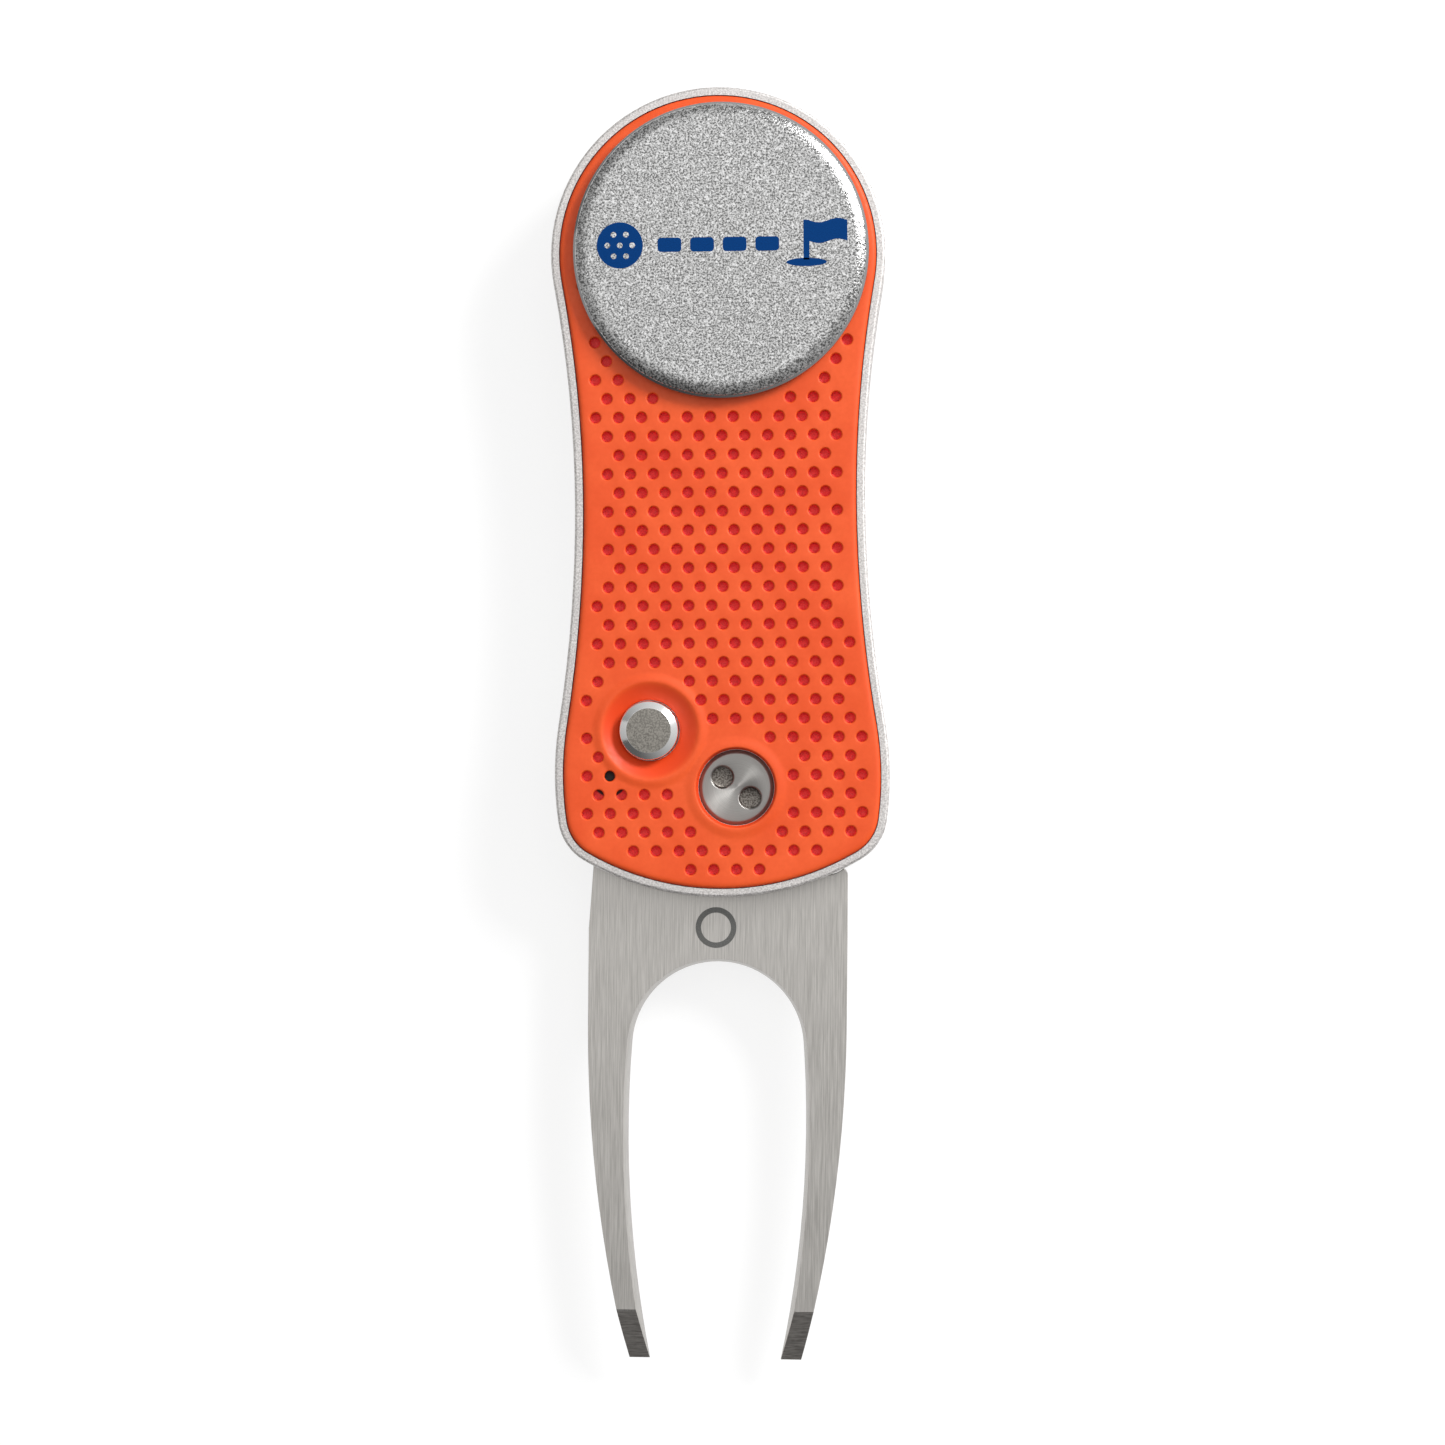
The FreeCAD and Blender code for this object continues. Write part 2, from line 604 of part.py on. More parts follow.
# ---------------------------------------------------------------- marker and magnet
def ball_marker():
    low, high = MARKER_Z
    disc = rod(MARKER, MARKER_R, low, high)
    disc = rounded(disc, MARKER_TOP_ROUND, lies_at(high))
    return rounded(disc, MARKER_UNDER_ROUND, lies_at(low))


def magnet_cup():
    low, high = CUP_Z
    return rod(MARKER, CUP_R, low, high).cut(
        rod(MARKER, CUP_R - CUP_WALL, low + CUP_FLOOR, high + OVERCUT))


def marker_magnet():
    return rod(MARKER, MAGNET_R, CUP_Z[0] + CUP_FLOOR, MAGNET_TOP_Z)


# ---------------------------------------------------------------- fasteners
def casing_screw(centre):
    seat = REAR_FLOOR_Z + SCREW_HEAD_TALL
    head = rod(centre, SCREW_HEAD_R, REAR_FLOOR_Z, seat)
    shank = rod(centre, SCREW_R, seat, SCREW_END_Z)
    socket = prism(hexagon(centre, 1.3), REAR_FLOOR_Z - OVERCUT, REAR_FLOOR_Z + 0.6)
    return head.fuse(shank).cut(socket)


PIECES = {
    "front_casing": front_casing,
    "rear_casing": rear_casing,
    "spine_spacer": spine_spacer,
    "front_grip": front_grip,
    "rear_grip": rear_grip,
    "fork": fork,
    "spring_post": spring_post,
    "fork_spring": fork_spring,
    "pivot_barrel": pivot_barrel,
    "pivot_screw": pivot_screw,
    "front_thrust_washer": lambda: thrust_washer(FRONT_PLATE[0] - WASHER_THICK),
    "rear_thrust_washer": lambda: thrust_washer(REAR_PLATE[1]),
    "stop_pin": stop_pin,
    "release_button": release_button,
    "button_spring": button_spring,
    "ball_marker": ball_marker,
    "magnet_cup": magnet_cup,
    "marker_magnet": marker_magnet,
    "casing_screws": lambda: Part.makeCompound([casing_screw(centre) for centre in SCREWS]),
    "locating_dowels": lambda: Part.makeCompound([rod(centre, DOWEL_R, *DOWEL_Z)
                                                  for centre in DOWELS]),
}

os.makedirs("parts", exist_ok=True)
for name, build in PIECES.items():
    shape = build()
    shape.translate(point(0, TO_ORIGIN_Y))
    shape.exportStep(f"parts/{name}.step")
    box = shape.BoundBox
    print(f"{name:20s} solids {len(shape.Solids)} valid {shape.isValid()} "
          f"volume {shape.Volume:8.2f} mm3  x {box.XMin:7.2f} {box.XMax:7.2f}  "
          f"y {box.YMin:7.2f} {box.YMax:7.2f}  z {box.ZMin:6.2f} {box.ZMax:6.2f}")
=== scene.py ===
"""Looks of a folding divot repair tool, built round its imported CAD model.

Shapes are worked out in millimetres and become metres when a mesh is made.  The grips, the
button and its spring, the pivot and the ball marker are new meshes that stand for their CAD
nodes; every other CAD node stays and is given a material.
"""
import math

import bmesh
import bpy
from mathutils import Matrix, Vector
from mathutils.geometry import delaunay_2d_cdt


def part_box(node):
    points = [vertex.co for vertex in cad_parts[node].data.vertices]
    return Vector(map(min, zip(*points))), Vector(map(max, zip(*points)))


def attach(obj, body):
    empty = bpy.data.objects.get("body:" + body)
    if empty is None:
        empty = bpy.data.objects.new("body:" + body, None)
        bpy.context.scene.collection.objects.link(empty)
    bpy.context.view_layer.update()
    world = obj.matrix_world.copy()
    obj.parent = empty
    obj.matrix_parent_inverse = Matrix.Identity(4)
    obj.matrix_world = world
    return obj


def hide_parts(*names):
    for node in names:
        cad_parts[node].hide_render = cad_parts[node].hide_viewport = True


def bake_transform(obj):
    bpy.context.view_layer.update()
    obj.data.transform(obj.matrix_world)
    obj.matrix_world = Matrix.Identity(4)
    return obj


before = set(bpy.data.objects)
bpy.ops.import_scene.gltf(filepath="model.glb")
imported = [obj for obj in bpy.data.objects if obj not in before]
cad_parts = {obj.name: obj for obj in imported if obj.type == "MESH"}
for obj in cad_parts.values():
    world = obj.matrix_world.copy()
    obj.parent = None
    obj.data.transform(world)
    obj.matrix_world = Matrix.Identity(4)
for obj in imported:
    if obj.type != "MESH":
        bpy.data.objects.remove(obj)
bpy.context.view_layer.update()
MM = 0.001

# ---- handle outline, as in the CAD source: tangent arcs, symmetric about x = 0 ----
TO_ORIGIN_Y = 0.475      # from the CAD source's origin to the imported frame's, along y
HEAD_R = 14.2
HEAD_Y = 39.8 + TO_ORIGIN_Y
WAIST_HALF = 12.33
WAIST_Y = 18.8 + TO_ORIGIN_Y
LOWER_WAIST_R = 115.0
LOBE_HALF = 14.23
LOBE_R = 28.0
CORNER_R = 4.5
BOTTOM_R = 23.4
BOTTOM_Y = -14.75 + TO_ORIGIN_Y
OUTLINE_STEP = 0.45      # longest step between the outline's points

# ---- perforations ----
HOLE_R = 0.45
HOLE_PITCH_X = 1.945
HOLE_PITCH_Y = 1.60
GRID_X = 0.20
GRID_Y = 26.0 + TO_ORIGIN_Y
HOLE_EDGE_MARGIN = 2.03  # least distance from a hole's centre to the handle's outline
GRID_REACH = 30          # rows and columns tried each way
HOLE_SIDES = 20
HOLE_WEB = 0.30          # skin left at the bottom of a perforation

# ---- grips and round pieces ----
FRONT_FACE_Z = 9.0
REAR_FACE_Z = 0.0
GRIP_THICK = 1.0
DISH_CREST_R = 4.25
DISH_CLEAR_R = 4.95      # no perforation is centred nearer than this to the dish's middle
COLLAR_CREST_R = 3.55
COLLAR_CLEAR_R = 4.75    # nor nearer than this to the pivot
REAR_WINDOW_R = 3.24     # hole in the rear grip over the pivot
WINDOW_SIDES = 120
MARKER_SIDES = 200
INK = 0.012              # thickness of a printed or etched mark


# ---------------------------------------------------------------- places, from the frame
def box_mm(node):
    low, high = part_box(node)
    return low / MM, high / MM


def centre_of(node):
    low, high = box_mm(node)
    return ((low.x + high.x) / 2, (low.y + high.y) / 2)


def radius_of(node):
    low, high = box_mm(node)
    return (high.x - low.x) / 2


PIVOT = centre_of("pivot_barrel")
BUTTON = centre_of("release_button")
MARKER = centre_of("ball_marker")
STOP_PIN = centre_of("stop_pin")
DISH = (-6.03, -0.57 + TO_ORIGIN_Y)
MARKER_SEAT = (0.20, 38.0 + TO_ORIGIN_Y)        # middle of the plain seat under the marker
MARKER_SEAT_R = 11.6
SEAT_EDGE_SPOT = (-11.47, 43.6 + TO_ORIGIN_Y)   # a hole almost under the marker, left out
FORK_MARK = (-0.74, -17.505 + TO_ORIGIN_Y)      # middle of the etched ring
FORK_LEAN = math.radians(-0.93)                 # the fork's own turn about +Z
TIP_BEVEL_LENGTH = 4.45
CUP_WINDOW_R = radius_of("magnet_cup") + 0.04
RECESS_SHADE_R = 1.45                         # black painted in the perforations over the stop pin, as the shade of its deep recess
SPANNER_ORBIT = 2.95 / 2
SPANNER_TURN = math.radians(-37)


# ---------------------------------------------------------------- outline
def toward(circle, target):
    """Point of circle (x, y, r) on the line from its centre to target."""
    centre = Vector(circle[:2])
    return centre + (Vector(target[:2]) - centre).normalized() * circle[2]


def circle_meeting(first, second):
    """Right-hand meeting point of two circles (x, y, r)."""
    a = Vector(first[:2])
    b = Vector(second[:2])
    gap = (b - a).length
    along = (first[2] ** 2 - second[2] ** 2 + gap ** 2) / (2 * gap)
    across = math.sqrt(first[2] ** 2 - along ** 2)
    step = (b - a).normalized()
    return a + step * along + Vector((step.y, -step.x)) * across


def handle_outline():
    """(point, outward normal) pairs right round the handle."""
    drop = HEAD_Y - WAIST_Y
    reach = HEAD_R - WAIST_HALF
    upper_r = (WAIST_HALF ** 2 + drop ** 2 - HEAD_R ** 2) / (2 * reach)
    lobe_x = LOBE_HALF - LOBE_R
    lobe_y = WAIST_Y - math.sqrt((LOWER_WAIST_R + LOBE_R) ** 2
                                 - (WAIST_HALF + LOWER_WAIST_R - lobe_x) ** 2)
    bottom_centre_y = BOTTOM_Y + BOTTOM_R
    corner = circle_meeting((lobe_x, lobe_y, LOBE_R - CORNER_R),
                            (0.0, bottom_centre_y, BOTTOM_R - CORNER_R))
    head = (0.0, HEAD_Y, HEAD_R)
    upper = (WAIST_HALF + upper_r, WAIST_Y, upper_r)
    lower = (WAIST_HALF + LOWER_WAIST_R, WAIST_Y, LOWER_WAIST_R)
    lobe = (lobe_x, lobe_y, LOBE_R)
    elbow = (corner.x, corner.y, CORNER_R)
    bottom = (0.0, bottom_centre_y, BOTTOM_R)
    joins = [Vector((0, HEAD_Y + HEAD_R)), toward(head, upper), Vector((WAIST_HALF, WAIST_Y)),
             toward(lobe, lower), toward(lobe, elbow), toward(bottom, elbow),
             Vector((0, BOTTOM_Y))]
    right = []
    for index, circle in enumerate((head, upper, lower, lobe, elbow, bottom)):
        centre = Vector(circle[:2])
        outward = -1.0 if circle in (upper, lower) else 1.0
        start = joins[index] - centre
        turn = start.angle_signed(joins[index + 1] - centre)
        count = math.ceil(abs(turn) * circle[2] / OUTLINE_STEP)
        first = math.atan2(start.y, start.x)
        for step in range(count):
            angle = first - turn * step / count
            ray = Vector((math.cos(angle), math.sin(angle)))
            right.append((centre + ray * circle[2], ray * outward))
    left = [(Vector((-p.x, p.y)), Vector((-n.x, n.y))) for p, n in reversed(right[1:])]
    return right + [(joins[-1], Vector((0, -1)))] + left


OUTLINE = handle_outline()


def outline_loop(inset):
    return [point - normal * inset for point, normal in OUTLINE]


def inside(point, loop):
    """Whether a point lies in a closed loop."""
    x, y = point
    odd = False
    for a, b in zip(loop, loop[1:] + loop[:1]):
        if (a.y > y) != (b.y > y) and x < a.x + (y - a.y) * (b.x - a.x) / (b.y - a.y):
            odd = not odd
    return odd


def perforations(blocked):
    """Centres on the staggered grid, clear of the outline and of each blocked (centre, radius)."""
    allowed = outline_loop(HOLE_EDGE_MARGIN)
    spots = []
    for row in range(-GRID_REACH, GRID_REACH):
        y = GRID_Y + row * HOLE_PITCH_Y
        shift = 0.5 if row % 2 == 0 else 0.0
        for column in range(-GRID_REACH // 2, GRID_REACH // 2):
            x = GRID_X + (column + shift) * HOLE_PITCH_X
            clear = all(math.dist((x, y), centre) > radius for centre, radius in blocked)
            if clear and inside((x, y), allowed):
                spots.append((x, y))
    return spots


# ---------------------------------------------------------------- mesh helpers
def circle_points(centre, radius, sides):
    turns = [math.tau * side / sides for side in range(sides)]
    return [Vector((centre[0] + radius * math.cos(t), centre[1] + radius * math.sin(t)))
            for t in turns]


def lifted(loop, z):
    """The loop in 3-D, at height z or at z(point)."""
    level = z if callable(z) else lambda point: z
    return [Vector((p.x, p.y, level(p))) for p in loop]


class Shell:
    """Points in millimetres and faces of one closed mesh, gathered stretch by stretch."""

    def __init__(self):
        self.points = []
        self.faces = []

    def band(self, first, second):
        """Quads between two loops with the same number of points."""
        start = len(self.points)
        count = len(first)
        self.points += first
        self.points += second
        for i in range(count):
            j = (i + 1) % count
            self.faces.append((start + i, start + j, start + count + j, start + count + i))

    def stack(self, loops):
        for first, second in zip(loops, loops[1:]):
            self.band(first, second)

    def fan(self, loop, hub):
        start = len(self.points)
        count = len(loop)
        self.points += loop
        self.points.append(hub)
        for i in range(count):
            self.faces.append((start + i, start + (i + 1) % count, start + count))

    def fill(self, outer, openings, z, free=()):
        """Triangles between a flat outer loop and the openings in it, set at height z.

        A triangle with all its corners on one opening lies in that opening, and is left out.
        free lists further points to go through.
        """
        flat = []
        owner = []
        edges = []
        for number, loop in enumerate([outer, *openings]):
            start = len(flat)
            flat += loop
            owner += [number] * len(loop)
            edges += [(start + i, start + (i + 1) % len(loop)) for i in range(len(loop))]
        flat += free
        owner += [0] * len(free)
        verts, _, triangles, origins, _, _ = delaunay_2d_cdt(flat, edges, [], 1, 1e-6)
        owners = [owner[origin[0]] for origin in origins]
        start = len(self.points)
        self.points += lifted(verts, z)
        for triangle in triangles:
            across = {owners[i] for i in triangle}
            if len(across) > 1 or across == {0}:
                self.faces.append(tuple(start + i for i in triangle))

    def build(self, name, body, slot, material, smooth_angle=48):
        """Makes the mesh object, which rides on a CAD body if one is given."""
        mesh = bpy.data.meshes.new(name)
        work = bmesh.new()
        made = [work.verts.new(point * MM) for point in self.points]
        for face in self.faces:
            work.faces.new([made[i] for i in face])
        bmesh.ops.remove_doubles(work, verts=work.verts, dist=2e-4 * MM)
        bmesh.ops.recalc_face_normals(work, faces=work.faces)
        work.to_mesh(mesh)
        work.free()
        mesh.polygons.foreach_set("use_smooth", [True] * len(mesh.polygons))
        mesh.set_sharp_from_angle(angle=math.radians(smooth_angle))
        mesh.materials.append(material)
        piece = bpy.data.objects.new(name, mesh)
        bpy.context.scene.collection.objects.link(piece)
        if body:
            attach(piece, body)
        return piece


def filleted(corners, steps=5):
    """Points along a (radius, z) line, with each corner (radius, z, fillet) rounded."""
    line = []
    for index, (radius, z, fillet) in enumerate(corners):
        here = Vector((radius, z))
        if not fillet:
            line.append(here)
            continue
        back = (Vector(corners[index - 1][:2]) - here).normalized()
        ahead = (Vector(corners[index + 1][:2]) - here).normalized()
        half = back.angle(ahead) / 2
        hub = here + (back + ahead).normalized() * fillet / math.sin(half)
        start = here + back * fillet / math.tan(half) - hub
        end = here + ahead * fillet / math.tan(half) - hub
        for step in range(steps + 1):
            ray = start.lerp(end, step / steps).normalized()
            line.append(hub + ray * fillet)
    return line


def lathe(centre, line, sides=WINDOW_SIDES):
    """Shell of revolution from a (radius, z) line that starts and ends on the axis."""
    shell = Shell()
    loops = [lifted(circle_points(centre, r, sides), z) for r, z in line[1:-1]]
    shell.stack(loops)
    shell.fan(loops[0], Vector((*centre, line[0][1])))
    shell.fan(loops[-1], Vector((*centre, line[-1][1])))
    return shell


# ---------------------------------------------------------------- material helpers
class Finish:
    """One procedural material, with a Principled surface.

    Keywords set the shader's sockets, with underscores for the spaces in their names.
    """

    def __init__(self, name, **surface):
        self.material = bpy.data.materials.new(name)
        self.material.use_nodes = True
        self.tree = self.material.node_tree
        self.shader = self.tree.nodes["Principled BSDF"]
        for key, value in surface.items():
            self.shader.inputs[key.replace("_", " ")].default_value = value
        self.place = self.add("TexCoord").outputs["Object"]

    def add(self, kind, inputs=None, **settings):
        made = self.tree.nodes.new("ShaderNode" + kind)
        for key, value in settings.items():
            setattr(made, key, value)
        for key, value in (inputs or {}).items():
            if isinstance(value, bpy.types.NodeSocket):
                self.tree.links.new(value, made.inputs[key])
            else:
                made.inputs[key].default_value = value
        return made

    def feed(self, name, socket):
        self.tree.links.new(socket, self.shader.inputs[name])

    def noise(self, size_mm, detail=2.0, stretch=(1, 1, 1), turn=0.0, roughness=0.5):
        """Noise whose lumps are size_mm across, longer by stretch along each axis."""
        scale = tuple(1 / s for s in stretch)
        spun = self.add("VectorRotate", {"Vector": self.place, "Angle": turn},
                        rotation_type="Z_AXIS").outputs["Vector"]
        mapped = self.add("VectorMath", {0: spun, 1: scale}, operation="MULTIPLY").outputs[0]
        return self.add("TexNoise", {"Vector": mapped, "Scale": 1 / (size_mm * MM),
                                     "Detail": detail, "Roughness": roughness}).outputs["Fac"]

    def ramp(self, factor, low, high, to_low=0.0, to_high=1.0, smooth=True):
        kind = "SMOOTHSTEP" if smooth else "LINEAR"
        return self.add("MapRange", {"Value": factor, "From Min": low, "From Max": high,
                                     "To Min": to_low, "To Max": to_high},
                        interpolation_type=kind).outputs["Result"]

    def mix(self, factor, first, second):
        """Mixes two colours, given as RGB or as sockets."""
        ends = [c if isinstance(c, bpy.types.NodeSocket) else (*c, 1.0) for c in (first, second)]
        return self.add("Mix", {0: factor, 6: ends[0], 7: ends[1]}, data_type="RGBA").outputs[2]

    def math(self, operation, first, second):
        return self.add("Math", {0: first, 1: second}, operation=operation).outputs[0]

    def axis(self, vector, name):
        return self.add("SeparateXYZ", {"Vector": vector}).outputs[name]

    def distance_from(self, centre):
        """Distance, in metres, from the upright axis through centre."""
        flat = self.add("VectorMath", {0: self.place, 1: (1, 1, 0)}, operation="MULTIPLY").outputs[0]
        axis = (centre[0] * MM, centre[1] * MM, 0)
        return self.add("VectorMath", {0: flat, 1: axis}, operation="DISTANCE").outputs["Value"]

    def bump(self, height, depth_um, strength=1.0, onto=None):
        inputs = {"Height": height, "Distance": depth_um * 1e-6, "Strength": strength}
        if onto:
            inputs["Normal"] = onto
        return self.add("Bump", inputs).outputs["Normal"]


# ---------------------------------------------------------------- materials
def soft_touch(face_z, inward, hollows=(), recess_shade=None):
    """Orange soft-touch rubber, with painted shade that makes it redder down in the perforations; inward
    is the sign of depth.

    hollows lists (centre, radius) of the sunk places, painted a deeper red as shade and kept
    clear of the perforations' painted shade.  The last argument is the (centre, radius) of black
    painted at the bottom of the perforations, as the shade of the deep recess over the stop pin.
    """
    finish = Finish("soft_touch_grip", Roughness=0.5, Specular_IOR_Level=0.38)
    cloud = finish.noise(5.0, detail=3)
    fine = finish.noise(0.35, detail=3)
    face = finish.mix(finish.ramp(cloud, 0.35, 0.65), (0.735, 0.074, 0.007), (0.785, 0.092, 0.013))
    face = finish.mix(finish.ramp(fine, 0.3, 0.7, 0.0, 0.16), face, (0.60, 0.052, 0.006))
    z = finish.axis(finish.place, "Z")
    sunk = finish.ramp(z, (face_z - inward * 0.20) * MM, (face_z + inward * 0.10) * MM)
    # Painted shade in the perforations: none 0.12 mm below the face, full 0.55 mm down.
    depth = finish.ramp(z, (face_z + inward * 0.12) * MM, (face_z + inward * 0.55) * MM)
    # Painted shade: the sunk dish and collar go a deeper red, and lose the perforations' painted shade.
    for centre, radius in hollows:
        away = finish.ramp(finish.distance_from(centre), (radius - 0.10) * MM, (radius + 0.05) * MM)
        near = finish.math("SUBTRACT", 1.0, away)
        face = finish.mix(finish.math("MULTIPLY", sunk, near), face, (0.73, 0.052, 0.004))
        depth = finish.math("MULTIPLY", depth, away)
    # Painted shade: a mottled deep red down in the perforations.
    speck = finish.noise(0.12, detail=2)
    hole_shade = finish.mix(finish.ramp(speck, 0.35, 0.7), (0.76, 0.019, 0.018), (0.88, 0.052, 0.048))
    # Painted shade: black at the bottom of the perforations over the stop pin's deep recess.
    if recess_shade:
        spot, radius = recess_shade
        recess_shade_mask = finish.ramp(finish.distance_from(spot), (radius - 0.07) * MM, (radius + 0.07) * MM)
        hole_shade = finish.mix(recess_shade_mask, (0.016, 0.006, 0.006), hole_shade)
    finish.feed("Base Color", finish.mix(depth, face, hole_shade))
    grain = finish.noise(0.06, detail=2)
    finish.feed("Normal", finish.bump(grain, 3.0, 0.6, onto=finish.bump(cloud, 25.0, 0.3)))
    finish.feed("Roughness", finish.ramp(fine, 0.2, 0.8, 0.44, 0.58))
    return finish.material


def blasted_aluminium():
    """Bead-blasted alloy of the casings."""
    finish = Finish("blasted_aluminium", Metallic=1.0)
    grain = finish.noise(0.16, detail=3, roughness=0.6)
    patch = finish.noise(3.0, detail=2)
    tone = finish.mix(finish.ramp(grain, 0.35, 0.65), (0.48, 0.458, 0.444), (0.78, 0.756, 0.740))
    tone = finish.mix(finish.ramp(patch, 0.3, 0.7, 0.0, 0.2), tone, (0.46, 0.45, 0.44))
    finish.feed("Base Color", tone)
    finish.feed("Roughness", finish.ramp(grain, 0.3, 0.7, 0.46, 0.62))
    finish.feed("Normal", finish.bump(grain, 22.0, 0.9))
    return finish.material


def brushed_steel(tip_y):
    """Steel brushed along the fork, with a darker colour on the sloped bevel faces below tip_y."""
    finish = Finish("brushed_steel", Metallic=1.0)
    turn = -FORK_LEAN
    fine = finish.noise(0.11, detail=3, stretch=(1, 45, 1), turn=turn, roughness=0.7)
    broad = finish.noise(0.7, detail=2, stretch=(1, 40, 1), turn=turn)
    patch = finish.noise(9.0, detail=2)
    steel = finish.mix(finish.ramp(fine, 0.30, 0.70), (0.36, 0.345, 0.325), (0.56, 0.540, 0.512))
    steel = finish.mix(finish.ramp(broad, 0.3, 0.7, 0.0, 0.08), steel, (0.54, 0.52, 0.495))
    steel = finish.mix(finish.ramp(patch, 0.3, 0.8, 0.0, 0.08), steel, (0.36, 0.345, 0.325))
    # Darker colour on the sloped bevel faces near the tips.
    bevel_streaks = finish.noise(0.12, detail=3, stretch=(10, 1, 1), roughness=0.7)
    bevel_tone = finish.mix(finish.ramp(bevel_streaks, 0.3, 0.7), (0.24, 0.225, 0.21), (0.46, 0.435, 0.41))
    normal_z = finish.axis(finish.add("NewGeometry").outputs["Normal"], "Z")
    sloped = finish.math("MULTIPLY", finish.ramp(normal_z, 0.99, 0.96), finish.ramp(normal_z, 0.3, 0.6))
    low_down = finish.ramp(finish.axis(finish.place, "Y"), (tip_y + 0.1) * MM, tip_y * MM)
    bevel = finish.math("MULTIPLY", sloped, low_down)
    finish.feed("Base Color", finish.mix(bevel, steel, bevel_tone))
    finish.feed("Roughness", finish.ramp(fine, 0.2, 0.8, 0.30, 0.46))
    finish.feed("Normal", finish.bump(fine, 4.0, 0.6))
    return finish.material


def turned_steel(centre, colour, shade_below_z, ring_mm=0.05):
    """Steel turned on a lathe: fine rings round centre, handling scratches, and painted shade, a dark
    colour, down in the spanner holes below the given height.
    """
    light = tuple(min(1.0, c * 1.26) for c in colour)
    finish = Finish("turned_steel", Metallic=1.0, Anisotropic=0.82, Anisotropic_Rotation=0.25)
    radius = finish.distance_from(centre)
    cycles = finish.math("MULTIPLY", radius, 1 / (ring_mm * MM))
    rings = finish.add("TexNoise", {"W": cycles, "Scale": 1.0, "Detail": 2.0},
                       noise_dimensions="1D").outputs["Fac"]
    scratch = finish.noise(0.10, detail=2, stretch=(60, 1, 1), turn=math.radians(40))
    tone = finish.mix(finish.ramp(rings, 0.3, 0.7), colour, light)
    tone = finish.mix(finish.ramp(scratch, 0.70, 0.78, 0.0, 0.5), tone, light)
    # Painted shade: a dark speckled colour down in the spanner holes.
    hole_speckle = finish.noise(0.14, detail=3)
    hole_shade = finish.mix(finish.ramp(hole_speckle, 0.35, 0.65), (0.080, 0.070, 0.060), (0.28, 0.255, 0.23))
    depth = finish.ramp(finish.axis(finish.place, "Z"), shade_below_z * MM, (shade_below_z - 0.2) * MM)
    finish.feed("Base Color", finish.mix(depth, tone, hole_shade))
    finish.feed("Roughness", finish.ramp(rings, 0.3, 0.7, 0.34, 0.46))
    finish.feed("Normal", finish.bump(rings, 2.5, 0.6))
    finish.feed("Tangent", finish.add("Tangent", direction_type="RADIAL", axis="Z").outputs[0])
    return finish.material


def button_steel():
    """Satin top, polished bevel."""
    finish = Finish("button_steel", Metallic=1.0)
    normal_z = finish.axis(finish.add("NewGeometry").outputs["Normal"], "Z")
    flat = finish.ramp(normal_z, 0.96, 0.995)
    grain = finish.noise(0.14, detail=3)
    patch = finish.noise(0.6, detail=2)
    satin = finish.mix(finish.ramp(grain, 0.38, 0.62), (0.17, 0.160, 0.142), (0.31, 0.292, 0.262))
    satin = finish.mix(finish.ramp(patch, 0.3, 0.7, 0.0, 0.3), satin, (0.30, 0.285, 0.255))
    finish.feed("Base Color", finish.mix(flat, (0.90, 0.90, 0.89), satin))
    finish.feed("Roughness", finish.ramp(flat, 0.0, 1.0, 0.16, 0.50))
    finish.feed("Normal", finish.bump(grain, 3.0, 0.8))
    return finish.material


def nickel_face():
    """Grainy nickel plate with painted glints as bright flecks, and a polished outer edge."""
    finish = Finish("nickel_plate", Metallic=1.0)
    radius = finish.distance_from(MARKER)
    edge_r = radius_of("ball_marker")
    polished = finish.ramp(radius, (edge_r - 0.26) * MM, (edge_r - 0.16) * MM)
    grain = finish.noise(0.15, detail=3, roughness=0.6)
    # Painted glints: bright flecks over the grain.
    glint_cells = finish.add("TexVoronoi", {"Vector": finish.place, "Scale": 1 / (0.15 * MM)}).outputs["Color"]
    glint_spot = finish.axis(glint_cells, "X")
    tone = finish.mix(finish.ramp(grain, 0.40, 0.60), (0.12, 0.12, 0.12), (0.56, 0.56, 0.555))
    tone = finish.mix(finish.ramp(glint_spot, 0.72, 1.0, 0.0, 0.7), tone, (0.78, 0.78, 0.78))
    finish.feed("Base Color", finish.mix(polished, tone, (0.45, 0.45, 0.45)))
    rough = finish.ramp(grain, 0.3, 0.7, 0.20, 0.34)
    smooth = finish.add("Mix", {0: polished, 2: rough, 3: 0.12}, data_type="FLOAT").outputs[0]
    finish.feed("Roughness", smooth)
    height = finish.math("MULTIPLY", grain, finish.ramp(polished, 0.0, 1.0, 1.0, 0.03))
    finish.feed("Normal", finish.bump(height, 30.0, 1.0))
    return finish.material


def plain_metal(name, colour, roughness, grain_mm=0.12):
    """Machined or plated metal for the small fittings."""
    finish = Finish(name, Metallic=1.0)
    grain = finish.noise(grain_mm, detail=3)
    patch = finish.noise(2.0, detail=2)
    shade = tuple(c * 0.86 for c in colour)
    finish.feed("Base Color", finish.mix(finish.ramp(patch, 0.3, 0.7), colour, shade))
    finish.feed("Roughness", finish.ramp(grain, 0.3, 0.7, roughness - 0.06, roughness + 0.08))
    finish.feed("Normal", finish.bump(grain, 3.0, 0.5))
    return finish.material


def ink(name, colour, roughness=0.6, metallic=0.0):
    """Flat, slightly speckled colour of a printed or etched mark."""
    finish = Finish(name, Roughness=roughness, Metallic=metallic, Specular_IOR_Level=0.05)
    speck = finish.noise(0.10, detail=3)
    light = tuple(c * 1.3 for c in colour)
    finish.feed("Base Color", finish.mix(finish.ramp(speck, 0.3, 0.7), colour, light))
    finish.feed("Normal", finish.bump(speck, 3.0, 0.4))
    return finish.material


